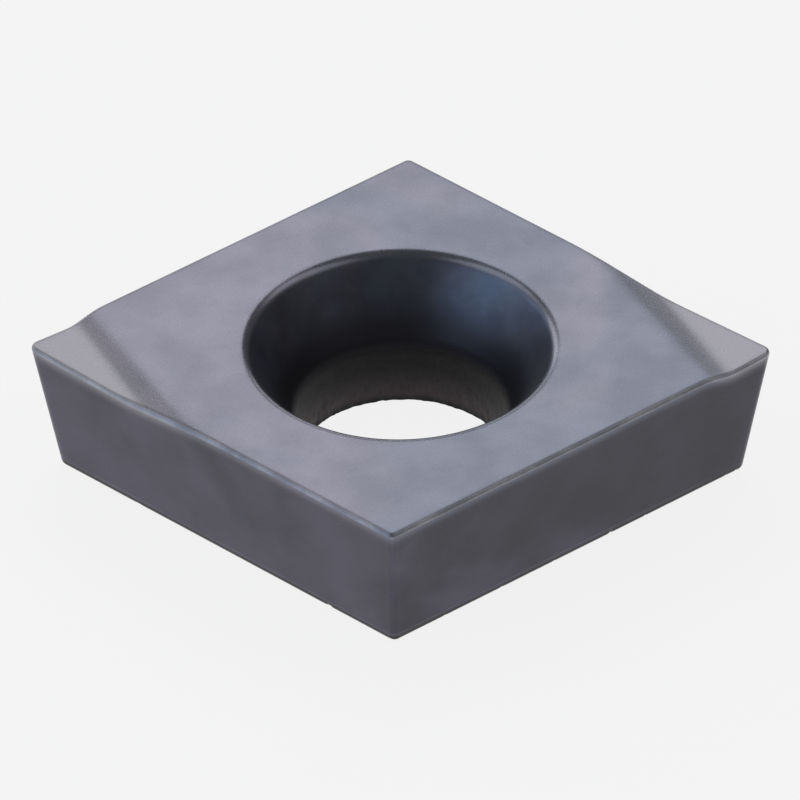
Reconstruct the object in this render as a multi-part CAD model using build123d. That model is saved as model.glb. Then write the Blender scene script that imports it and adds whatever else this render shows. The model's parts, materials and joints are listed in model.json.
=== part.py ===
from build123d import *
import os
from math import cos, radians, sin, tan

# Indexable carbide cutting insert: a rhombus with relief on its four flanks, a
# countersunk screw hole, and a chip breaker groove ground across each of its two
# cutting corners.
#
# The origin is on the seat, on the axis of the screw hole. +X points to a
# cutting corner, +Y to a blunt corner and +Z out of the top face. Lengths are
# in millimetres and angles in degrees.

# The rhombus is measured at the top face, by the circle that fits inside it
inscribed_circle = 6.35
thickness = 1.98
cutting_corner_angle = 80.0
relief_angle = 7.0
cutting_corner_radius = 0.15
blunt_corner_radius = 0.1
seat_edge_radius = 0.08

# The hole is sunk for the cone under the screw's head. The sink is measured at
# the top face as if its rim were sharp, and its angle is the cone's own.
hole_diameter = 2.8
sink_diameter = 4.04
sink_angle = 60.0
sink_rim_radius = 0.2
sink_foot_radius = 0.5

# Each groove starts below the cutting corner. Its rake face falls to a rounded
# root, and its back wall climbs from there to a rounded lip in the top face.
# The width is taken from the sharp corner to the lip, square to the groove.
groove_skew = 22.5
groove_width = 1.16
groove_fall = 0.5
corner_drop = 0.05
rake_angle = 3.5
back_wall_angle = 13.0
root_radius = 0.8
lip_radius = 1.2

# The cutting edge is honed round all the way along
edge_hone = 0.06

# How far a cut runs on past the body
overcut = 1.0

half_angle = cutting_corner_angle / 2
cutting_corner_reach = inscribed_circle / 2 / sin(radians(half_angle))
blunt_corner_reach = inscribed_circle / 2 / cos(radians(half_angle))
side_length = inscribed_circle / sin(radians(cutting_corner_angle))
half_turn = 180


def rhombic_block():
    """The rhombus with its flanks leaning in below the top face and its corners rounded."""
    outline = Polyline(
        (cutting_corner_reach, 0),
        (0, blunt_corner_reach),
        (-cutting_corner_reach, 0),
        (0, -blunt_corner_reach),
        close=True,
    )
    block = extrude(make_face(outline), amount=thickness)
    flanks = block.faces().filter_by(Axis.Z, reverse=True)
    block = draft(flanks, Plane.XY.offset(thickness), -relief_angle)

    corners = upright_edges(block)
    block = fillet([corners[0], corners[-1]], cutting_corner_radius)
    # a rounded corner has two upright edges, so these are the first and last pair
    blunt_corners = upright_edges(block)[2:-2]
    return fillet(blunt_corners, blunt_corner_radius)


def upright_edges(block):
    """The edges that climb from the seat to the top face, in order along X."""
    edges = block.edges().filter_by(lambda edge: abs(edge.tangent_at(0.5).Z) > 0.5)
    return edges.sort_by(Axis.X)


def drill(block):
    """Cut the screw hole, sink its mouth, and ease the foot and the rim of the sink."""
    bore = Cylinder(hole_diameter / 2, thickness + 2 * overcut)
    block -= Pos(0, 0, thickness / 2) * bore

    slope = tan(radians(sink_angle / 2))
    depth = (sink_diameter - hole_diameter) / 2 / slope
    sink = Cone(
        hole_diameter / 2,
        sink_diameter / 2 + slope * overcut,
        depth + overcut,
        align=(Align.CENTER, Align.CENTER, Align.MIN),
    )
    block -= Pos(0, 0, thickness - depth) * sink
    block = fillet(hole_rims(block)[1], sink_foot_radius)
    return fillet(hole_rims(block)[-1], sink_rim_radius)


def hole_rims(block):
    """The hole's round edges from the seat up, the only ones that close on themselves."""
    return block.edges().filter_by(lambda edge: edge.is_closed).sort_by(Axis.Z)


def groove_section():
    """The plane square to the +X corner's groove, with its X leading away from the corner."""
    heading = radians(180 - half_angle - groove_skew)
    fall = radians(groove_fall)
    along = Vector(cos(heading) * cos(fall), sin(heading) * cos(fall), -sin(fall))
    across = Vector(-sin(heading), cos(heading), 0)
    return Plane((cutting_corner_reach, 0, thickness), x_dir=across, z_dir=along)


def wheel_sweep():
    """What the grinding wheel takes away as it passes over the +X corner."""
    rake = tan(radians(rake_angle))
    back_wall = tan(radians(back_wall_angle))
    root = (back_wall * groove_width - corner_drop) / (back_wall + rake)
    profile = make_face(
        Polyline(
            (-overcut, rake * overcut - corner_drop),
            (root, -rake * root - corner_drop),
            (groove_width + overcut, back_wall * overcut),
            (-overcut, back_wall * overcut),
            close=True,
        )
    )
    root_corner = profile.vertices().sort_by(Axis.Y)[0]
    profile = fillet(root_corner, root_radius)
    return extrude(groove_section() * profile, amount=side_length, both=True)


def grind(block):
    """Grind a groove at each cutting corner, and ease its lip into the top face."""
    wheel = wheel_sweep()
    lip = Vector(groove_section().from_local_coords((groove_width, 0, 0)))
    for turn in (0, half_turn):
        block -= Rot(0, 0, turn) * wheel
        lip_edge = block.edges().sort_by_distance(lip.rotate(Axis.Z, turn))[0]
        block = fillet(lip_edge, lip_radius)
    return block


def rim_edges(block):
    """The edges along the top and the foot of the flanks."""
    flanks = block.faces().filter_by(lambda face: -0.5 < face.normal_at().Z < 0)
    return flanks.edges().filter_by(lambda edge: abs(edge.tangent_at(0.5).Z) < 0.5)


def finish_edges(block):
    """Break the edge round the seat, then hone the cutting edge."""
    seat_edges = rim_edges(block).filter_by(lambda edge: (edge @ 0.5).Z < thickness / 2)
    block = fillet(seat_edges, seat_edge_radius)
    cutting_edges = rim_edges(block).filter_by(lambda edge: (edge @ 0.5).Z > thickness / 2)
    return fillet(cutting_edges, edge_hone)


insert_body = finish_edges(grind(drill(rhombic_block())))

os.makedirs("parts", exist_ok=True)
export_step(insert_body, "parts/insert_body.step")
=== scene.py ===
import json
from math import atan, atan2, cos, hypot, pi, radians, sin, tan

import bpy
from bpy.props import FloatProperty, FloatVectorProperty, IntProperty, PointerProperty
from mathutils import Matrix, Vector, noise


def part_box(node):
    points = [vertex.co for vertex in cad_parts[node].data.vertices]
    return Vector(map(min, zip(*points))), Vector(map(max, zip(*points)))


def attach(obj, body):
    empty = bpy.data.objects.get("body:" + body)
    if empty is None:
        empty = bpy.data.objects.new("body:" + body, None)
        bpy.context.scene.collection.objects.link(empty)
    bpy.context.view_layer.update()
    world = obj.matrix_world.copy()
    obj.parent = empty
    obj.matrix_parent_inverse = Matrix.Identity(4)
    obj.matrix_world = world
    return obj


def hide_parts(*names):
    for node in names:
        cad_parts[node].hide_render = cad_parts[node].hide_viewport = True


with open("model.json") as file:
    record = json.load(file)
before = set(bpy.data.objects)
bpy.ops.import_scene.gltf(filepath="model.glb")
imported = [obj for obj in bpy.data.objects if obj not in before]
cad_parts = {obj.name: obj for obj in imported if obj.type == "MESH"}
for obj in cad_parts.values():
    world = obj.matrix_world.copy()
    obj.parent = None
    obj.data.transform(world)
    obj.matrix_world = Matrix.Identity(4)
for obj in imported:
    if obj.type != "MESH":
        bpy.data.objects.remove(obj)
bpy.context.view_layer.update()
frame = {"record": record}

bl_info = {
    "name": "Cutting Insert",
    "version": (1, 0, 0),
    "blender": (4, 5, 0),
    "location": "3D View > Sidebar > Insert",
    "description": "Builds a rhombic cutting insert with ground grooves, its finishes and a plain stage",
    "category": "Object",
}

NODE = "insert_body"
MM = 0.001

# Point attributes of the mesh, each from 0 to 1, that the finishes read
EDGE = "edge"
FLANK = "flank"
GROOVE = "groove"
HOLE = "hole"
CORNER = "corner"
FOOT = "foot"

# Where the marks start and end past the cutting edge, as shares of the edge's band
SIDE_START = -0.4
SIDE_END = 1.6
# How much less a blunt corner's distance counts than a cutting corner's
BLUNT_CORNER_SHARE = 0.5

# The nicks come in stretches. Both are patches of noise, with a size and the range that shows.
NICK_SIZE = 0.09 * MM
NICK_RANGE = (0.22, 0.5)
STRETCH_SIZE = 0.8 * MM
STRETCH_RANGE = (-0.1, 0.3)

# The skin's unevenness is coarse patches with finer and fainter ones over them
SKIN_COARSE = 0.12 * MM
SKIN_FINE = 0.05 * MM
SKIN_FINE_SHARE = 0.6

# Step in which the slope of the top face is measured
SLOPE_STEP = 0.002 * MM


def frame_mount(name):
    """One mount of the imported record."""
    for mount in frame["record"]["mounts"]:
        if mount["name"] == name:
            return mount
    raise KeyError(name)


seat_corner, top_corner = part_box(NODE)
flank = frame_mount("rear_right_flank")
flank_axis = Vector(flank["axis"])
flank_relief = atan2(-flank_axis.z, hypot(flank_axis.x, flank_axis.y))
flank_spot = Vector(flank["pos_m"])
spot_radius = hypot(flank_spot.x, flank_spot.y)
top_radius = spot_radius + (top_corner.z - flank_spot.z) * tan(flank_relief)
flank_half_angle = pi / 2 - atan2(flank_axis.y, flank_axis.x)
hole_wall = frame_mount("screw_hole")["dims"]["r_mm"] * MM


def length(name, default, description):
    """A size in metres."""
    return FloatProperty(
        name=name,
        description=description,
        default=default,
        min=0.0,
        precision=6,
        subtype="DISTANCE",
        unit="LENGTH",
    )


def angle(name, default, description):
    """An angle, kept in radians."""
    return FloatProperty(
        name=name,
        description=description,
        default=default,
        precision=3,
        subtype="ANGLE",
        unit="ROTATION",
    )


def colour(name, default, description):
    """A linear colour."""
    return FloatVectorProperty(
        name=name,
        description=description,
        default=default,
        size=3,
        min=0.0,
        max=1.0,
        subtype="COLOR",
    )


def power(name, default, description):
    """A lamp's power in watts."""
    return FloatProperty(name=name, description=description, default=default, unit="POWER")


def count(name, default, description):
    """A whole number of steps."""
    return IntProperty(name=name, description=description, default=default, min=1)


class InsertSizes(bpy.types.PropertyGroup):
    """The insert's own sizes. What the frame holds is read from it."""

    inscribed_radius: length("Inscribed radius", top_radius, "Half the circle between the flanks")
    thickness: length("Thickness", top_corner.z, "From the seat to the top face")
    half_angle: angle("Half angle", flank_half_angle, "Half the angle of a cutting corner")
    relief: angle("Relief", flank_relief, "Lean of the flanks")
    cutting_corner: length("Cutting corner", 0.15 * MM, "Radius of the two cutting corners")
    blunt_corner: length("Blunt corner", 0.1 * MM, "Radius of the two blunt corners")
    seat_edge: length("Seat edge", 0.08 * MM, "Radius of the broken edge round the seat")
    hone: length("Hone", 0.06 * MM, "Radius of the honed cutting edge")
    hole_radius: length("Hole radius", hole_wall, "Radius of the screw hole's wall")
    sink_radius: length("Sink radius", 2.02 * MM, "Sink of the hole at the top, to a sharp rim")
    sink_angle: angle("Sink angle", radians(60), "Angle of the sink's cone")
    sink_rim: length("Sink rim", 0.2 * MM, "Round between the top face and the sink")
    sink_foot: length("Sink foot", 0.5 * MM, "Round between the sink and the hole's wall")
    groove_skew: angle("Groove skew", radians(22.5), "Between the groove and the long side")
    groove_width: length("Groove width", 1.16 * MM, "From the sharp corner to the groove's lip")
    groove_fall: angle("Groove fall", radians(0.5), "Slope along the groove")
    corner_drop: length("Corner drop", 0.05 * MM, "How far the cutting corner is ground down")
    rake: angle("Rake", radians(3.5), "Slope of the rake face")
    back_wall: angle("Back wall", radians(13.0), "Slope of the groove's back wall")
    root_radius: length("Root radius", 0.8 * MM, "Round between the rake face and the back wall")
    lip_radius: length("Lip radius", 1.2 * MM, "Round where the back wall meets the top face")
    nick: length("Nick", 0.03 * MM, "Depth of the small nicks in the edge round the seat")
    skin: length("Skin", 0.014 * MM, "Unevenness of the skin in the hole")
    edge_band: length("Edge band", 0.11 * MM, "How far to each side of an edge its finish reaches")
    # The foot band is how far up the flanks the painted highlight and shade of the foot reach.
    foot_band: length("Foot band", 0.25 * MM, "How far up the flanks the finish of their foot reaches")


class InsertSteps(bpy.types.PropertyGroup):
    """How finely the insert's surface is divided."""

    corner: count("Corner", 16, "Steps round each corner")
    side: count("Side", 200, "Steps along each side")
    seat: count("Seat", 4, "Rows on the seat")
    seat_edge: count("Seat edge", 5, "Rows round the broken edge")
    flank: count("Flank", 21, "Rows up the flanks")
    hone: count("Hone", 6, "Rows round the honed edge")
    top: count("Top", 38, "Rows across the top face")
    sink_rim: count("Sink rim", 8, "Rows round the sink's rim")
    sink_cone: count("Sink cone", 6, "Rows down the sink's cone")
    sink_foot: count("Sink foot", 6, "Rows round the sink's foot")
    wall: count("Wall", 12, "Rows down the hole's wall")


class FinishColours(bpy.types.PropertyGroup):
    """Colours of the coating, linear."""

    # The face tints are the coating's clouded tone, and their drift across the face is painted light
    # from the left.
    face_violet: colour("Face, violet", (0.281, 0.274, 0.339), "Top face, where it is most violet")
    face_blue: colour("Face, blue", (0.231, 0.246, 0.310), "Top face, where it is most blue")
    groove: colour("Groove", (0.34, 0.335, 0.375), "Ground rake face and back wall")
    # The flank tints are the coating painted darker as painted shade of the flanks, and their lighter
    # violet on the left is painted light.
    flank_violet: colour("Flank, violet", (0.094, 0.089, 0.120), "Flanks, where most violet")
    flank_grey: colour("Flank, grey", (0.062, 0.061, 0.075), "Flanks, where greyest")
    # The mouth and sink tints are painted shade inside the hole, and their blue is partly a painted
    # reflection of the cool lamp.
    mouth_dark: colour("Mouth, dark", (0.170, 0.166, 0.198), "Wall of the hole's sink")
    mouth_blue: colour("Mouth, blue", (0.150, 0.172, 0.226), "Wall of the sink, where bluest")
    sink_shade: colour("Sink, low", (0.080, 0.080, 0.098), "Lower wall of the sink")
    # The bore's dark is its sintered skin and painted shade; its brown near the seat is painted light
    # from below.
    bore_dark: colour("Bore, dark", (0.018, 0.018, 0.020), "Wall of the hole, near its mouth")
    bore_painted_brown: colour("Bore, brown", (0.100, 0.082, 0.085), "Wall of the hole, near the seat")
    # The worn colour is real wear on the cutting edges, and also a painted highlight line near the
    # seat's edge.
    wear_and_highlight: colour("Worn edge", (0.58, 0.565, 0.62), "Where the coating is thin at an edge")
    # The foot colour is painted shade where the broken edge turns under toward the floor.
    foot: colour("Foot", (0.042, 0.041, 0.040), "Broken edge round the seat")
    floor: colour("Floor", (0.82, 0.82, 0.82), "Floor under the insert")
    cool_lamp: colour("Cool lamp", (0.53, 0.74, 1.0), "Cool light from the left")


class Outline:
    """The rhombus with rounded corners, at any height, as stations all the way round."""

    def __init__(self, sizes, steps):
        self.sizes = sizes
        self.stations = []
        for corner in range(4):
            middle = corner * pi / 2
            span = self.span(corner)
            for step in range(steps.corner):
                turn = middle - span + 2 * span * step / steps.corner
                self.stations.append((corner, turn, 0.0))
            for step in range(steps.side):
                self.stations.append((corner, middle + span, step / steps.side))
        self.count = len(self.stations)
        self.first_angle = -pi * steps.corner / self.count

    def span(self, corner):
        """Half the angle that a corner's round turns through."""
        cutting = corner % 2 == 0
        return pi / 2 - self.sizes.half_angle if cutting else self.sizes.half_angle

    def corner_radius(self, corner):
        """Radius of a corner's round: even ones are cutting corners."""
        return self.sizes.cutting_corner if corner % 2 == 0 else self.sizes.blunt_corner

    def on_corner(self, corner, turn, lean, inset):
        """A point on a corner's round, where lean moves the flanks in and inset the outline."""
        radius = self.corner_radius(corner)
        reach = (self.sizes.inscribed_radius - lean - radius) / cos(self.span(corner))
        middle = corner * pi / 2
        return Vector(
            (
                reach * cos(middle) + (radius - inset) * cos(turn),
                reach * sin(middle) + (radius - inset) * sin(turn),
            )
        )

    def point(self, station, lean, inset):
        """The station's point in plan."""
        corner, turn, share = station
        start = self.on_corner(corner, turn, lean, inset)
        if share == 0.0:
            return start
        after = (corner + 1) % 4
        end = self.on_corner(after, turn, lean, inset)
        return start.lerp(end, share)

    def outward(self, station):
        """The direction in plan that the flank faces."""
        turn = station[1]
        return Vector((cos(turn), sin(turn)))

    def local_relief(self, station):
        """The lean of the surface at a station, which is less on a corner's round."""
        corner, turn, _ = station
        middle = corner * pi / 2
        across = cos(turn - middle) / cos(self.span(corner))
        return atan(tan(self.sizes.relief) * across)


class Groove:
    """Height of the top face over the whole insert, with a groove at each cutting corner."""

    def __init__(self, sizes):
        self.sizes = sizes
        heading = pi - sizes.half_angle - sizes.groove_skew
        self.along = Vector((cos(heading), sin(heading)))
        self.across = Vector((-sin(heading), cos(heading)))
        self.corner = Vector((sizes.inscribed_radius / sin(sizes.half_angle), 0.0))
        self.rake = tan(sizes.rake)
        self.wall = tan(sizes.back_wall)
        self.fall = tan(sizes.groove_fall)
        rise = self.wall * sizes.groove_width - sizes.corner_drop
        self.root = rise / (self.wall + self.rake)
        self.root_reach = sizes.root_radius * tan((sizes.rake + sizes.back_wall) / 2)
        self.lip_reach = sizes.lip_radius * tan(sizes.back_wall / 2)

    def place(self, spot):
        """Distances of a point in plan across and along the nearer groove."""
        near = spot if spot.x > 0 else -spot
        reach = near - self.corner
        return reach.dot(self.across), reach.dot(self.along)

    def lip(self, along):
        """How far across the groove its lip lies."""
        return self.sizes.groove_width + self.fall * along / self.wall

    def height(self, spot):
        """Height above the plane of the top face, which is never more than zero."""
        across, along = self.place(spot)
        ground = -self.sizes.corner_drop - self.rake * across - self.fall * along
        ground += bend(across - self.root, self.root_reach, self.rake + self.wall)
        return ground - bend(across - self.lip(along), self.lip_reach, self.wall)

    def cover(self, spot):
        """1 on the rake face, and fading up the back wall to 0 at its lip."""
        across, along = self.place(spot)
        return 1.0 - smooth_step(across, self.root - self.root_reach, self.lip(along))

    def slope(self, spot, inward):
        """Slope of the surface in a direction, as rise over run."""
        rise = self.height(spot + SLOPE_STEP * inward) - self.height(spot)
        return rise / SLOPE_STEP


class Sink:
    """Profile of the hole's sink, as radius and height: round rim, cone and round foot."""

    def __init__(self, sizes):
        half = sizes.sink_angle / 2
        depth = (sizes.sink_radius - sizes.hole_radius) / tan(half)
        self.sizes = sizes
        self.rim_turn = pi / 2 - half
        rim = sizes.sink_radius + sizes.sink_rim * tan(self.rim_turn / 2)
        self.rim_centre = Vector((rim, sizes.thickness - sizes.sink_rim))
        self.wall_height = sizes.thickness - depth - sizes.sink_foot * tan(half / 2)
        self.foot_centre = Vector((sizes.hole_radius + sizes.sink_foot, self.wall_height))

    def rim(self, share):
        """On the round rim, from 0 at the top face to 1 at the cone."""
        turn = self.rim_turn * share
        return self.rim_centre + self.sizes.sink_rim * Vector((-sin(turn), cos(turn)))

    def foot(self, share):
        """On the round foot, from 0 at the cone to 1 at the hole's wall."""
        turn = self.rim_turn + (pi / 2 - self.rim_turn) * share
        return self.foot_centre + self.sizes.sink_foot * Vector((-sin(turn), cos(turn)))

    def cone(self, share):
        """On the cone, from 0 at the rim to 1 at the foot."""
        return self.rim(1.0).lerp(self.foot(0.0), share)


def bend(distance, reach, slope):
    """Zero before a bend and a straight slope after it, with a smooth turn between them."""
    if distance <= -reach:
        return 0.0
    if distance >= reach:
        return slope * distance
    return slope * (distance + reach) ** 2 / (4 * reach)


def smooth_step(value, low, high):
    """Rises from 0 at low to 1 at high without a corner."""
    share = min(1.0, max(0.0, (value - low) / (high - low)))
    return share * share * (3 - 2 * share)


def shares(steps, last=False):
    """Even shares from 0 up to 1, with 1 itself only where asked for."""
    return [step / steps for step in range(steps + 1 if last else steps)]


class InsertSurface:
    """The insert's closed surface: rings round the hole's axis, from the seat up and in again."""

    def __init__(self, sizes, steps):
        self.sizes = sizes
        self.steps = steps
        self.outline = Outline(sizes, steps)
        self.groove = Groove(sizes)
        self.sink = Sink(sizes)
        self.points = []
        self.values = {EDGE: [], FLANK: [], GROOVE: [], HOLE: [], CORNER: [], FOOT: []}
        self.parts = []

    def ring(self, part, places, hole=0.0):
        """Adds one ring of points, with the part that it starts and how far down the hole it is."""
        band = self.sizes.edge_band
        for place in places:
            past = self.past_edge(place)
            self.points.append(place)
            side = smooth_step(past, SIDE_START * band, SIDE_END * band)
            from_corner = min(abs(place.x), BLUNT_CORNER_SHARE * abs(place.y))
            self.values[EDGE].append(1.0 - smooth_step(abs(past), 0.0, band))
            self.values[FLANK].append(side)
            self.values[GROOVE].append(self.groove.cover(place.xy))
            self.values[HOLE].append(hole)
            # The corner value masks the painted highlight on the corner rounds.
            self.values[CORNER].append(side * (1.0 - smooth_step(from_corner, 0.0, band)))
            self.values[FOOT].append(side * max(0.0, 1.0 - place.z / self.sizes.foot_band))
        self.parts.append(part)

    def past_edge(self, place):
        """How far a point is down the flank from the cutting edge, or less than 0 on the top."""
        half = self.sizes.half_angle
        inset = self.sizes.inscribed_radius - abs(place.x) * sin(half) - abs(place.y) * cos(half)
        return self.sizes.thickness + self.groove.height(place.xy) - place.z - inset

    def circle(self, radius, height):
        """One ring of the hole."""
        total = self.outline.count
        first = self.outline.first_angle
        turns = [first + 2 * pi * index / total for index in range(total)]
        return [Vector((radius * cos(turn), radius * sin(turn), height)) for turn in turns]

    def flank_ring(self, spot_of):
        """A ring outside, from each station's height and its distance in from the flank."""
        places = []
        for station in self.outline.stations:
            height, inset = spot_of(station)
            lean = (self.sizes.thickness - height) * tan(self.sizes.relief)
            spot = self.outline.point(station, lean, inset)
            places.append(Vector((spot.x, spot.y, height)))
        return places

    def build(self):
        """Adds all the rings in order."""
        self.seat()
        self.flanks()
        self.top()
        self.hole_wall()
        return self

    def nicked_radius(self, station):
        """The radius of the broken edge, which is more where it has a nick."""
        spot = self.outline.point(station, 0.0, 0.0)
        chips = noise.noise(Vector((spot.x, spot.y, 0.0)) / NICK_SIZE)
        stretch = noise.noise(Vector((spot.x, spot.y, MM)) / STRETCH_SIZE)
        depth = smooth_step(chips, *NICK_RANGE) * smooth_step(stretch, *STRETCH_RANGE)
        return self.sizes.seat_edge + self.sizes.nick * depth

    def seat_edge_spot(self, station, turn):
        """Height and inset on the broken edge, from 0 at the flank to 1 on the seat."""
        relief = self.outline.local_relief(station)
        radius = self.nicked_radius(station)
        way = relief + (pi / 2 - relief) * turn
        centre = radius * (1 - sin(relief)) / cos(relief)
        height = radius - radius * sin(way)
        return height, height * tan(relief) + centre - radius * cos(way)

    def edge_ring(self, turn):
        """One ring of the broken edge."""
        return self.flank_ring(lambda station: self.seat_edge_spot(station, turn))

    def seat(self):
        """From the hole out to the foot of the flanks, and round the broken edge."""
        inner = self.rough(self.circle(self.sizes.hole_radius, 0.0))
        outer = self.edge_ring(1.0)
        for share in shares(self.steps.seat):
            places = [start.lerp(end, share) for start, end in zip(inner, outer)]
            self.ring("seat", places, hole=1.0 if share == 0.0 else 0.0)
        for share in shares(self.steps.seat_edge, last=True):
            self.ring("coating", self.edge_ring(1.0 - share))

    def hone_arc(self, station):
        """Where the honed edge leaves the top face, its slope there, and the arc's radius."""
        sizes = self.sizes
        relief = self.outline.local_relief(station)
        inward = -self.outline.outward(station)
        inset = sizes.hone / tan((pi / 2 - relief) / 2)
        start = self.outline.point(station, 0.0, inset)
        height = self.groove.height(start)
        slope = atan(self.groove.slope(start, inward))
        run = (inset + height * tan(relief)) / (cos(slope) + sin(slope) * tan(relief))
        radius = run * tan((pi / 2 - relief + slope) / 2)
        return inset, height, slope, radius, relief

    def hone_spot(self, station, turn):
        """Height and inset on the honed edge, from 0 at the top face to 1 on the flank."""
        inset, height, slope, radius, relief = self.hone_arc(station)
        way = slope + (pi / 2 + relief - slope) * turn
        across = inset + radius * (sin(slope) - sin(way))
        drop = radius * (cos(slope) - cos(way)) - height
        return self.sizes.thickness - drop, across - drop * tan(relief)

    def hone_ring(self, turn):
        """One ring of the honed edge."""
        return self.flank_ring(lambda station: self.hone_spot(station, turn))

    def flanks(self):
        """Up the flanks, closer together near the foot and the top, and round the honed edge."""
        foot = self.edge_ring(0.0)
        brow = self.hone_ring(1.0)
        for share in shares(self.steps.flank)[1:]:
            climb = smooth_step(share, 0.0, 1.0)
            places = [start.lerp(end, climb) for start, end in zip(foot, brow)]
            self.ring("coating", places)
        for share in shares(self.steps.hone):
            self.ring("coating", self.hone_ring(1.0 - share))

    def top(self):
        """In across the top face and its grooves, to the mouth of the hole."""
        sizes = self.sizes
        rim = self.circle(self.sink.rim_centre.x, sizes.thickness)
        brow = self.hone_ring(0.0)
        for share in shares(self.steps.top):
            places = []
            for start, end in zip(brow, rim):
                place = start.lerp(end, share)
                place.z = sizes.thickness + self.groove.height(place.xy)
                places.append(place)
            self.ring("coating", places)

    def rough(self, places):
        """Pushes points of the hole's wall in and out a little, as its sintered skin is."""
        pushed = []
        for place in places:
            swell = noise.noise(place / SKIN_COARSE)
            swell += SKIN_FINE_SHARE * noise.noise(place / SKIN_FINE)
            push = 1.0 + self.sizes.skin * swell / self.sizes.hole_radius
            pushed.append(Vector((place.x * push, place.y * push, place.z)))
        return pushed

    def hole_ring(self, part, radius, height):
        """One ring of the hole, with its depth as a share of the thickness."""
        depth = 1.0 - height / self.sizes.thickness
        self.ring(part, self.circle(radius, height), hole=depth)

    def hole_wall(self):
        """Round the rim of the sink, down its cone, round its foot, and down the wall."""
        for share in shares(self.steps.sink_rim):
            self.hole_ring("mouth", *self.sink.rim(share))
        for share in shares(self.steps.sink_cone):
            self.hole_ring("mouth", *self.sink.cone(share))
        for share in shares(self.steps.sink_foot):
            self.hole_ring("bore", *self.sink.foot(share))
        for share in shares(self.steps.wall):
            height = self.sink.wall_height * (1 - share)
            places = self.circle(self.sizes.hole_radius, height)
            if share > 0.5:
                places = self.rough(places)
            self.ring("bore", places, hole=1.0 - height / self.sizes.thickness)

    def faces(self):
        """Quads between each ring and the next, with the last joined to the first."""
        total = self.outline.count
        rings = len(self.parts)
        for ring in range(rings):
            here = ring * total
            above = (ring + 1) % rings * total
            for index in range(total):
                after = (index + 1) % total
                yield (here + index, here + after, above + after, above + index)

    def face_parts(self):
        """The part of the insert that each quad belongs to."""
        for part in self.parts:
            for _ in range(self.outline.count):
                yield part


def new_mesh_object(name, points, faces):
    """An object in the scene with a mesh of these points and faces."""
    mesh = bpy.data.meshes.new(name)
    mesh.from_pydata(points, [], faces)
    mesh.update()
    piece = bpy.data.objects.new(name, mesh)
    bpy.context.scene.collection.objects.link(piece)
    return piece


def add_point_values(mesh, name, values):
    """Stores one number for each point, for the finishes to read."""
    attribute = mesh.attributes.new(name, "FLOAT", "POINT")
    attribute.data.foreach_set("value", values)


class NodeMaker:
    """Adds nodes to a tree and links them, with short calls."""

    def __init__(self, tree):
        self.tree = tree
        self.nodes = tree.nodes
        self.links = tree.links

    def add(self, kind, inputs=None, **settings):
        """A node with its settings, and its inputs as values or as outputs to link from."""
        node = self.nodes.new(kind)
        for key, value in settings.items():
            setattr(node, key, value)
        for key, value in (inputs or {}).items():
            self.feed(node.inputs[key], value)
        return node

    def feed(self, socket, value):
        """Gives a socket a value, or links an output to it."""
        if isinstance(value, bpy.types.NodeSocket):
            self.links.new(value, socket)
        else:
            socket.default_value = value

    def math(self, operation, first, second=0.0, third=0.0):
        """The result of one sum."""
        node = self.add("ShaderNodeMath", {0: first, 1: second, 2: third}, operation=operation)
        return node.outputs[0]

    def scale(self, vector, amount):
        """A place or a colour times a number."""
        values = {0: vector, "Scale": amount}
        return self.add("ShaderNodeVectorMath", values, operation="SCALE").outputs[0]

    def mix_colour(self, amount, first, second):
        """One colour laid over another."""
        node = self.add("ShaderNodeMix", {0: amount, 6: first, 7: second}, data_type="RGBA")
        return node.outputs[2]

    def mix_value(self, amount, first, second):
        """A number between two others."""
        node = self.add("ShaderNodeMix", {0: amount, 2: first, 3: second}, data_type="FLOAT")
        return node.outputs[0]

    def remap(self, value, low, high, to_low=0.0, to_high=1.0):
        """A number carried from one range to another, eased at both ends."""
        node = self.add("ShaderNodeMapRange", interpolation_type="SMOOTHSTEP")
        for key, number in enumerate((value, low, high, to_low, to_high)):
            self.feed(node.inputs[key], number)
        return node.outputs[0]

    def noise(self, place, scale, detail=2.0, roughness=0.5, distortion=0.0):
        """Noise from 0 to 1 at a place."""
        node = self.add(
            "ShaderNodeTexNoise",
            {
                "Vector": place,
                "Scale": scale,
                "Detail": detail,
                "Roughness": roughness,
                "Distortion": distortion,
            },
        )
        return node.outputs["Fac"]

    def group(self, tree, inputs):
        """A node that holds one of the shared effects."""
        return self.add("ShaderNodeGroup", inputs, node_tree=tree)

    def point_value(self, name):
        """One of the numbers stored on the mesh."""
        return self.add("ShaderNodeAttribute", attribute_name=name).outputs["Fac"]

    def place_in_mm(self):
        """The place on the insert, in millimetres."""
        place = self.add("ShaderNodeTexCoord").outputs["Object"]
        return self.scale(place, 1 / MM)


def new_group(name, inputs, outputs):
    """An empty shared effect, with its maker, its inputs' sockets and its output node."""
    tree = bpy.data.node_groups.new(name, "ShaderNodeTree")
    for label, kind, default in inputs:
        socket = tree.interface.new_socket(label, in_out="INPUT", socket_type=kind)
        socket.default_value = default
    for label, kind in outputs:
        tree.interface.new_socket(label, in_out="OUTPUT", socket_type=kind)
    maker = NodeMaker(tree)
    given = maker.add("NodeGroupInput").outputs
    result = maker.add("NodeGroupOutput").inputs
    return maker, given, result


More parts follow.
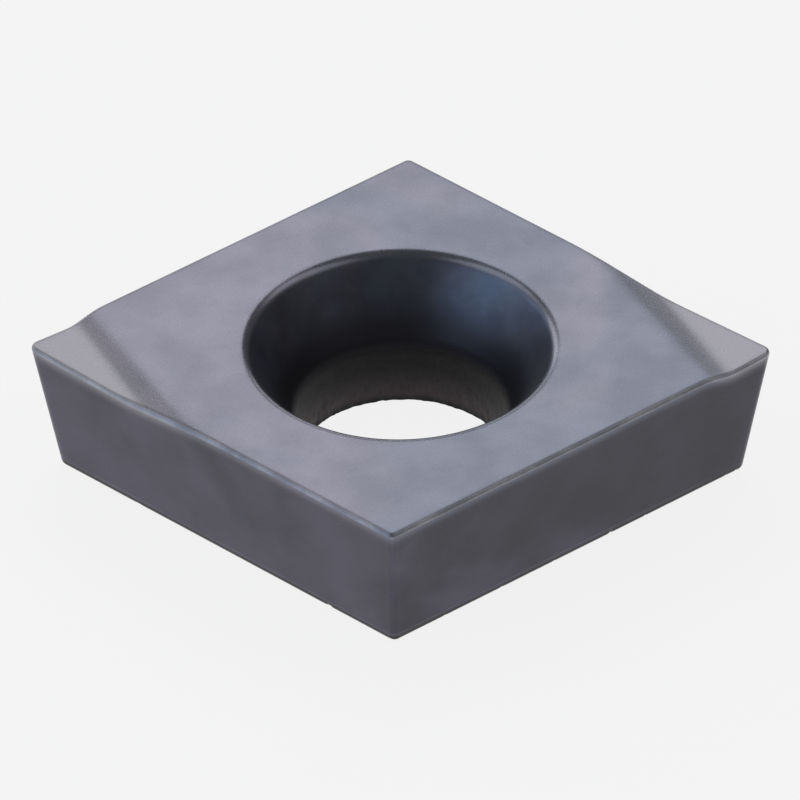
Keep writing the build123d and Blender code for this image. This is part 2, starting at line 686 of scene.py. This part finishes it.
def cloudy_tint():
    """Two tints that run into each other in soft clouds."""
    make, given, result = new_group(
        "cloudy_tint",
        [
            ("First", "NodeSocketColor", (1, 1, 1, 1)),
            ("Second", "NodeSocketColor", (0, 0, 0, 1)),
            ("Clouds per mm", "NodeSocketFloat", 1.0),
            ("Depth", "NodeSocketFloat", 0.1),
            ("Drift", "NodeSocketVector", (0, 0, 0)),
        ],
        [("Colour", "NodeSocketColor")],
    )
    place = make.place_in_mm()
    # The drift shifts the tints from one side to the other; the face and flank tints use it as painted
    # light from the left.
    drift = make.add("ShaderNodeVectorMath", {0: place, 1: given["Drift"]}, operation="DOT_PRODUCT")
    clouds = make.noise(place, given["Clouds per mm"], detail=3.0, distortion=0.6)
    wide = make.math("ADD", clouds, drift.outputs["Value"])
    tint = make.mix_colour(make.remap(wide, 0.35, 0.65), given["First"], given["Second"])
    finer = make.math("MULTIPLY", given["Clouds per mm"], 2.6)
    shade = make.remap(make.noise(place, finer, detail=4.0), 0.3, 0.7, -1.0, 1.0)
    gain = make.math("MULTIPLY_ADD", shade, given["Depth"], 1.0)
    make.feed(result["Colour"], make.scale(tint, gain))
    return make.tree


def fine_grain():
    """The sintered grain of the surface, as a height and as a mask of its darker pits."""
    make, given, result = new_group(
        "fine_grain",
        [("Grains per mm", "NodeSocketFloat", 40.0)],
        [("Height", "NodeSocketFloat"), ("Pits", "NodeSocketFloat")],
    )
    place = make.place_in_mm()
    grain = make.noise(place, given["Grains per mm"], detail=5.0, roughness=0.65)
    make.feed(result["Height"], grain)
    make.feed(result["Pits"], make.remap(grain, 0.3, 0.42, 1.0, 0.0))
    return make.tree


def grinding_lines():
    """Fine parallel scratches from the wheel, drawn out along the axis that is stretched least."""
    make, given, result = new_group(
        "grinding_lines",
        [
            ("Turn", "NodeSocketFloat", 0.0),
            ("Stretch", "NodeSocketVector", (1, 1, 1)),
        ],
        [("Height", "NodeSocketFloat"), ("Lines", "NodeSocketFloat")],
    )
    place = make.place_in_mm()
    turned = make.add(
        "ShaderNodeVectorRotate",
        {"Vector": place, "Angle": given["Turn"]},
        rotation_type="Z_AXIS",
    )
    stretched = make.add(
        "ShaderNodeVectorMath",
        {0: turned.outputs[0], 1: given["Stretch"]},
        operation="MULTIPLY",
    )
    lines = make.noise(stretched.outputs[0], 1.0, detail=6.0, roughness=0.7)
    make.feed(result["Height"], lines)
    make.feed(result["Lines"], make.remap(lines, 0.35, 0.65))
    return make.tree


def edge_wear():
    """Where the coating has thinned along an edge, broken up into short stretches. The same mask also
    paints a highlight line near the seat's edge.
    """
    make, given, result = new_group(
        "edge_wear",
        [
            ("Edge", "NodeSocketFloat", 0.0),
            ("Patches per mm", "NodeSocketFloat", 3.0),
            ("Amount", "NodeSocketFloat", 0.5),
        ],
        [("Wear", "NodeSocketFloat")],
    )
    place = make.place_in_mm()
    patches = make.noise(place, given["Patches per mm"], detail=5.0, roughness=0.7)
    broken = make.remap(patches, 0.35, 0.7)
    near = make.remap(given["Edge"], 0.35, 1.0)
    wear_and_highlight = make.math("MULTIPLY", near, make.math("MULTIPLY_ADD", broken, 0.7, 0.3))
    make.feed(result["Wear"], make.math("MULTIPLY", wear_and_highlight, given["Amount"]))
    return make.tree


def rgba(values):
    """A colour with its alpha, as nodes want it."""
    return (*values, 1.0)


class Finishes:
    """The materials of the insert, which share their effects."""

    METALLIC = 0.85
    BORE_METALLIC = 0.3
    BORE_SPECULAR = 0.3

    # Roughness, and how much the grain or the lines add to it
    SATIN = 0.27
    SATIN_LOW = SATIN - 0.05
    SATIN_GRAIN = 0.1
    FLANK_LINES = 0.12
    SEAT_LINES = 0.15
    EDGE_SATIN = 0.5
    SINK_DULLING = 0.13
    SINK_FOOT_SATIN = 0.4
    BORE_SATIN = 0.45
    BORE_GRAIN = 0.25

    # Depth of the bumps in metres, and the grains in each millimetre
    COATING_RELIEF = 0.0007 * MM
    BORE_RELIEF = 0.005 * MM
    SEAT_RELIEF = 0.0004 * MM
    COATING_GRAINS = 28.0
    BORE_GRAINS = 14.0

    # Grinding lines: how much they are squeezed along each axis, and the seat's turn
    GROOVE_STRETCH = (1.2, 45.0, 1.0)
    FLANK_STRETCH = (1.0, 1.0, 40.0)
    SEAT_STRETCH = (1.0, 34.0, 1.0)
    SEAT_TURN = radians(35)

    # Streaks of the flanks and the painted highlight on their corner rounds, as factors of their tint
    STREAK_LOW = 0.97
    STREAK_GAIN = 0.06
    CORNER_HIGHLIGHT = 0.28
    # How much of the seat's tint is that of the flanks
    SEAT_DARKNESS = 0.6

    # Ranges of the foot's painted marks: the painted highlight line as it comes and goes, and the strip
    # of painted shade below
    HIGHLIGHT_STARTS = (0.38, 0.48)
    HIGHLIGHT_ENDS = (0.66, 0.56)
    SHADE_STRIP = (0.58, 0.68)

    # Ranges of the depth down the hole, as shares of the thickness
    # The darkening past the rim and down the sink is painted shade inside the hole.
    RIM_SHADE = (0.01, 0.045)
    RIM_DULLS = (0.01, 0.05)
    SINK_SHADE = (0.22, 0.45)
    BORE_STARTS = (0.49, 0.6)
    # Painted light from below browns the bore toward the seat, and painted shade darkens its very foot.
    BORE_PAINTED_BROWN = (0.68, 0.96)
    BORE_FOOT_SHADE = (0.93, 1.0)

    def __init__(self, colours, sizes):
        self.colours = colours
        self.sizes = sizes
        self.tint = cloudy_tint()
        self.grain = fine_grain()
        self.lines = grinding_lines()
        self.wear = edge_wear()

    def start(self, name):
        """A new material with only its shader and its output."""
        material = bpy.data.materials.new(name)
        material.use_nodes = True
        material.node_tree.nodes.clear()
        make = NodeMaker(material.node_tree)
        shader = make.add("ShaderNodeBsdfPrincipled")
        shader.inputs["Metallic"].default_value = self.METALLIC
        output = make.add("ShaderNodeOutputMaterial")
        make.links.new(shader.outputs[0], output.inputs[0])
        return material, make, shader

    def height_of_grain(self, make, grains):
        """Height of the grain, with so many grains in a millimetre."""
        return make.group(self.grain, {"Grains per mm": grains}).outputs["Height"]

    def relief(self, make, shader, height, depth):
        """Roughens the surface by a height from 0 to 1 and its depth in metres."""
        bump = make.add("ShaderNodeBump", {"Height": height, "Distance": depth, "Strength": 1.0})
        make.feed(shader.inputs["Normal"], bump.outputs[0])

    def face_tint(self, make):
        """Clouded violet and blue grey of the top face, with a drift that paints it lighter and more
        violet toward the left as painted light from the left.
        """
        values = {
            "First": rgba(self.colours.face_violet),
            "Second": rgba(self.colours.face_blue),
            "Clouds per mm": 0.55,
            "Depth": 0.08,
            # The drift is painted light: it makes the face lighter and more violet toward the left.
            "Drift": (0.05, -0.015, 0.0),
        }
        return make.group(self.tint, values).outputs[0]

    def flank_tint(self, make):
        """Darker clouded grey of the flanks: the coating painted darker as painted shade of the flanks,
        with a drift that paints the left side lighter and more violet as painted light from the left.
        """
        values = {
            "First": rgba(self.colours.flank_violet),
            "Second": rgba(self.colours.flank_grey),
            "Clouds per mm": 0.5,
            "Depth": 0.09,
            "Drift": (0.035, 0.0, 0.0),
        }
        return make.group(self.tint, values).outputs[0]

    def coating(self):
        """Satin coating of the top face, the grooves and the flanks."""
        material, make, shader = self.start("satin_coating")
        colours = self.colours
        groove_turn = -(pi - self.sizes.half_angle - self.sizes.groove_skew)
        grain = self.height_of_grain(make, self.COATING_GRAINS)
        groove_lines = make.group(self.lines, {"Turn": groove_turn, "Stretch": self.GROOVE_STRETCH})
        flank_lines = make.group(self.lines, {"Stretch": self.FLANK_STRETCH})
        wear = make.group(
            self.wear,
            {"Edge": make.point_value(EDGE), "Patches per mm": 1.6, "Amount": 0.85},
        )
        ground = make.point_value(GROOVE)
        side = make.point_value(FLANK)
        base = make.mix_colour(ground, self.face_tint(make), rgba(colours.groove))
        lines = flank_lines.outputs["Lines"]
        streaks = make.math("MULTIPLY_ADD", lines, self.STREAK_GAIN, self.STREAK_LOW)
        # The corner rounds are painted lighter: a painted highlight.
        gain = make.math("MULTIPLY_ADD", make.point_value(CORNER), self.CORNER_HIGHLIGHT, streaks)
        low = make.point_value(FOOT)
        flank_tint = make.scale(self.flank_tint(make), gain)
        # A painted highlight line near the foot, and under it a strip of painted shade.
        starts = make.remap(low, *self.HIGHLIGHT_STARTS)
        line = make.math("MULTIPLY", starts, make.remap(low, *self.HIGHLIGHT_ENDS))
        foot_highlight = make.group(self.wear, {"Edge": line, "Patches per mm": 1.2, "Amount": 0.07})
        flank_tint = make.mix_colour(foot_highlight.outputs[0], flank_tint, rgba(colours.wear_and_highlight))
        foot_shade = make.remap(low, *self.SHADE_STRIP)
        flank_tint = make.mix_colour(foot_shade, flank_tint, rgba(colours.foot))
        base = make.mix_colour(side, base, flank_tint)
        base = make.mix_colour(wear.outputs[0], base, rgba(colours.wear_and_highlight))
        make.feed(shader.inputs["Base Color"], base)
        rough = make.math("MULTIPLY_ADD", grain, self.SATIN_GRAIN, self.SATIN_LOW)
        flank_rough = make.math("MULTIPLY_ADD", lines, self.FLANK_LINES, self.SATIN)
        rough = make.mix_value(side, rough, flank_rough)
        rough = make.mix_value(make.point_value(EDGE), rough, self.EDGE_SATIN)
        make.feed(shader.inputs["Roughness"], rough)
        height = make.mix_value(ground, grain, groove_lines.outputs["Height"])
        height = make.mix_value(side, height, flank_lines.outputs["Height"])
        self.relief(make, shader, height, self.COATING_RELIEF)
        return material

    def mouth(self):
        """Coating of the hole's mouth, with painted shade that darkens it as it turns down into the
        hole, and bluish clouds that are partly a painted reflection of the cool lamp.
        """
        material, make, shader = self.start("mouth_coating")
        dark = make.group(
            self.tint,
            {
                "First": rgba(self.colours.mouth_dark),
                "Second": rgba(self.colours.mouth_blue),
                "Clouds per mm": 0.9,
                "Depth": 0.15,
            },
        )
        grain = self.height_of_grain(make, self.COATING_GRAINS)
        depth = make.point_value(HOLE)
        # Past the rim the mouth is painted darker as painted shade, with bluish clouds that are partly a
        # painted reflection.
        past_rim = make.remap(depth, *self.RIM_SHADE)
        base = make.mix_colour(past_rim, self.face_tint(make), dark.outputs[0])
        # Lower in the sink it is painted darker still, as painted shade.
        lower = make.remap(depth, *self.SINK_SHADE)
        base = make.mix_colour(lower, base, rgba(self.colours.sink_shade))
        make.feed(shader.inputs["Base Color"], base)
        rough = make.math("MULTIPLY_ADD", grain, self.SATIN_GRAIN, self.SATIN_LOW)
        dulled = make.remap(depth, *self.RIM_DULLS)
        rough = make.math("MULTIPLY_ADD", dulled, self.SINK_DULLING, rough)
        make.feed(shader.inputs["Roughness"], rough)
        self.relief(make, shader, grain, self.COATING_RELIEF)
        return material

    def bore(self):
        """Rough sintered skin of the hole's wall, dark and painted darker still as shade inside the
        hole, painted lighter and browner toward the seat as painted light from below, with a line of
        painted shade at its foot.
        """
        material, make, shader = self.start("sintered_bore")
        colours = self.colours
        dark = rgba(colours.bore_dark)
        grain = make.group(self.grain, {"Grains per mm": self.BORE_GRAINS}).outputs
        depth = make.point_value(HOLE)
        shader.inputs["Specular IOR Level"].default_value = self.BORE_SPECULAR
        past_foot = make.remap(depth, *self.BORE_STARTS)
        # The skin is painted lighter and browner toward the seat as painted light from below, and darker
        # at its foot as painted shade.
        low = make.remap(depth, *self.BORE_PAINTED_BROWN)
        skin = make.mix_colour(low, dark, rgba(colours.bore_painted_brown))
        skin = make.mix_colour(grain["Pits"], skin, dark)
        skin = make.mix_colour(make.remap(depth, *self.BORE_FOOT_SHADE), skin, dark)
        base = make.mix_colour(past_foot, rgba(colours.sink_shade), skin)
        make.feed(shader.inputs["Base Color"], base)
        metallic = make.mix_value(past_foot, self.METALLIC, self.BORE_METALLIC)
        make.feed(shader.inputs["Metallic"], metallic)
        rough = make.math("MULTIPLY_ADD", grain["Height"], self.BORE_GRAIN, self.BORE_SATIN)
        rough = make.mix_value(past_foot, self.SINK_FOOT_SATIN, rough)
        make.feed(shader.inputs["Roughness"], rough)
        relief = make.math("MULTIPLY", grain["Height"], past_foot)
        self.relief(make, shader, relief, self.BORE_RELIEF)
        return material

    def seat(self):
        """Ground seat, with its lines one way across it."""
        material, make, shader = self.start("ground_seat")
        values = {"Turn": self.SEAT_TURN, "Stretch": self.SEAT_STRETCH}
        lines = make.group(self.lines, values).outputs
        # The seat takes in the flank tint, with its painted shade and painted light.
        base = make.mix_colour(self.SEAT_DARKNESS, self.face_tint(make), self.flank_tint(make))
        make.feed(shader.inputs["Base Color"], base)
        rough = make.math("MULTIPLY_ADD", lines["Lines"], self.SEAT_LINES, self.SATIN)
        make.feed(shader.inputs["Roughness"], rough)
        self.relief(make, shader, lines["Height"], self.SEAT_RELIEF)
        return material


PART_FINISHES = ("coating", "mouth", "bore", "seat")


class INSERT_OT_body(bpy.types.Operator):
    """Build the insert as one closed surface and give each part of it its finish"""

    bl_idname = "insert.body"
    bl_label = "Insert Body"

    def execute(self, context):
        sizes = context.scene.insert_sizes
        surface = InsertSurface(sizes, context.scene.insert_steps).build()
        piece = new_mesh_object("insert", surface.points, list(surface.faces()))
        mesh = piece.data
        for name, values in surface.values.items():
            add_point_values(mesh, name, values)
        finishes = Finishes(context.scene.insert_colours, sizes)
        for part in PART_FINISHES:
            mesh.materials.append(getattr(finishes, part)())
        indices = [PART_FINISHES.index(part) for part in surface.face_parts()]
        mesh.polygons.foreach_set("material_index", indices)
        mesh.polygons.foreach_set("use_smooth", [True] * len(indices))
        # the first ring is the sharp foot of the hole
        for edge in mesh.edges:
            if max(edge.vertices) < surface.outline.count:
                edge.use_edge_sharp = True
        mesh.update()
        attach(piece, "root")
        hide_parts(NODE)
        return {"FINISHED"}


class StageSettings(bpy.types.PropertyGroup):
    """The floor, the lamps and the camera."""

    floor_size: length("Floor size", 1.2, "Side of the square floor")
    azimuth: angle("Azimuth", radians(2.036), "Camera's turn round the insert, from the front")
    elevation: angle("Elevation", radians(37.14), "Camera's height above the horizon")
    roll: angle("Roll", radians(-0.833), "Camera's turn about its own line of sight")
    distance: length("Distance", 0.1996, "From the camera to the insert's axis")
    aim_right: FloatProperty(name="Aim right", description="Of the origin", default=-0.0261 * MM)
    aim_up: FloatProperty(name="Aim up", description="Of the origin", default=0.8412 * MM)
    lens: FloatProperty(name="Lens", description="Focal length", default=681.7, unit="CAMERA")
    ambient: FloatProperty(name="Ambient", description="Even light of the room", default=0.1)
    rear_power: power("Rear", 0.416, "Soft box behind and above")
    low_power: power("Low", 0.14, "Small panel behind, near the floor")
    left_power: power("Left", 0.314, "Panel high on the left")
    right_power: power("Right", 0.255, "Panel high on the right")
    cool_power: power("Cool", 0.72, "Cool panel low on the left")
    rim_power: power("Rim", 0.22, "Small panel between the left one and the rear")


# Each lamp: azimuth and elevation in degrees from the rear, then width and depth in metres
LAMPS = {
    "rear": (1, 43.3, 0.34, 0.333),
    "low": (0, 7, 0.36, 0.14),
    "left": (-92, 50, 0.5, 0.25),
    "right": (92, 50, 0.5, 0.25),
    "cool": (-104, 13, 0.95, 0.25),
    "rim": (-36, 19, 0.26, 0.2),
}
LAMP_REACH = 0.5
WHITE = (1, 1, 1)
FLOOR_WHITENESS = 0.85
SENSOR_WIDTH = 36.0
NEAREST_SEEN = 0.01


def camera_axes(stage):
    """The camera's right, up and backward directions."""
    away = Vector(
        (
            sin(stage.azimuth) * cos(stage.elevation),
            -cos(stage.azimuth) * cos(stage.elevation),
            sin(stage.elevation),
        )
    )
    right = Vector((cos(stage.azimuth), sin(stage.azimuth), 0.0))
    level = Matrix((right, away.cross(right), away)).transposed()
    return level @ Matrix.Rotation(stage.roll, 3, "Z")


def floor_material(colour_value):
    """Pale floor that the camera sees as nearly white, and that keeps the insert's shadow."""
    material = bpy.data.materials.new("pale_floor")
    material.use_nodes = True
    material.node_tree.nodes.clear()
    make = NodeMaker(material.node_tree)
    rays = make.add("ShaderNodeLightPath").outputs
    seen = make.math("MAXIMUM", rays["Is Camera Ray"], rays["Is Glossy Ray"])
    seen = make.math("MAXIMUM", seen, rays["Is Transmission Ray"])
    plain = make.add("ShaderNodeBsdfDiffuse", {"Color": rgba(colour_value)})
    white = make.add("ShaderNodeEmission", {"Color": rgba(WHITE), "Strength": 1.0})
    share = make.math("MULTIPLY", seen, FLOOR_WHITENESS)
    mixed = make.add("ShaderNodeMixShader", {0: share})
    make.links.new(plain.outputs[0], mixed.inputs[1])
    make.links.new(white.outputs[0], mixed.inputs[2])
    output = make.add("ShaderNodeOutputMaterial")
    make.links.new(mixed.outputs[0], output.inputs[0])
    return material


def add_lamp(name, watts, tint):
    """A soft rectangular lamp that points at the insert."""
    azimuth, elevation, width, depth = LAMPS[name]
    data = bpy.data.lights.new(name, "AREA")
    data.shape = "RECTANGLE"
    data.size = width
    data.size_y = depth
    data.energy = watts
    data.color = tint
    turn = radians(azimuth)
    rise = radians(elevation)
    way = Vector((sin(turn) * cos(rise), cos(turn) * cos(rise), sin(rise)))
    lamp = bpy.data.objects.new(name, data)
    lamp.location = LAMP_REACH * way
    lamp.rotation_euler = (-way).to_track_quat("-Z", "Y").to_euler()
    bpy.context.scene.collection.objects.link(lamp)


def light_world(strength):
    """A dim even light from all round."""
    world = bpy.data.worlds.new("studio")
    bpy.context.scene.world = world
    world.use_nodes = True
    world.node_tree.nodes.clear()
    make = NodeMaker(world.node_tree)
    background = make.add("ShaderNodeBackground", {"Color": rgba(WHITE), "Strength": strength})
    output = make.add("ShaderNodeOutputWorld")
    make.links.new(background.outputs[0], output.inputs[0])


class INSERT_OT_stage(bpy.types.Operator):
    """Lay the floor, set the lamps and place the camera"""

    bl_idname = "insert.stage"
    bl_label = "Stage"

    def execute(self, context):
        stage = context.scene.insert_stage
        colours = context.scene.insert_colours
        half = stage.floor_size / 2
        corners = [(-half, -half, 0), (half, -half, 0), (half, half, 0), (-half, half, 0)]
        floor = new_mesh_object("floor", corners, [(0, 1, 2, 3)])
        floor.data.materials.append(floor_material(colours.floor))
        for name in LAMPS:
            tint = tuple(colours.cool_lamp) if name == "cool" else WHITE
            add_lamp(name, getattr(stage, name + "_power"), tint)
        light_world(stage.ambient)
        axes = camera_axes(stage)
        data = bpy.data.cameras.new("camera")
        data.lens = stage.lens
        data.sensor_width = SENSOR_WIDTH
        data.clip_start = NEAREST_SEEN
        camera = bpy.data.objects.new("camera", data)
        camera.matrix_world = axes.to_4x4()
        camera.location = axes @ Vector((stage.aim_right, stage.aim_up, stage.distance))
        context.scene.collection.objects.link(camera)
        context.scene.camera = camera
        context.scene.view_settings.view_transform = "Standard"
        return {"FINISHED"}


class INSERT_PT_panel(bpy.types.Panel):
    """Everything that builds the insert and its stage"""

    bl_idname = "INSERT_PT_panel"
    bl_label = "Cutting Insert"
    bl_space_type = "VIEW_3D"
    bl_region_type = "UI"
    bl_category = "Insert"

    def draw(self, context):
        layout = self.layout
        layout.operator(INSERT_OT_body.bl_idname)
        layout.operator(INSERT_OT_stage.bl_idname)


SETTINGS = {
    "insert_sizes": InsertSizes,
    "insert_steps": InsertSteps,
    "insert_colours": FinishColours,
    "insert_stage": StageSettings,
}
CLASSES = (*SETTINGS.values(), INSERT_OT_body, INSERT_OT_stage, INSERT_PT_panel)


def register():
    for item in CLASSES:
        bpy.utils.register_class(item)
    for name, item in SETTINGS.items():
        setattr(bpy.types.Scene, name, PointerProperty(type=item))


def unregister():
    for name in SETTINGS:
        delattr(bpy.types.Scene, name)
    for item in reversed(CLASSES):
        bpy.utils.unregister_class(item)


def main():
    register()
    bpy.ops.insert.body()
    bpy.ops.insert.stage()


if __name__ == "__main__":
    main()
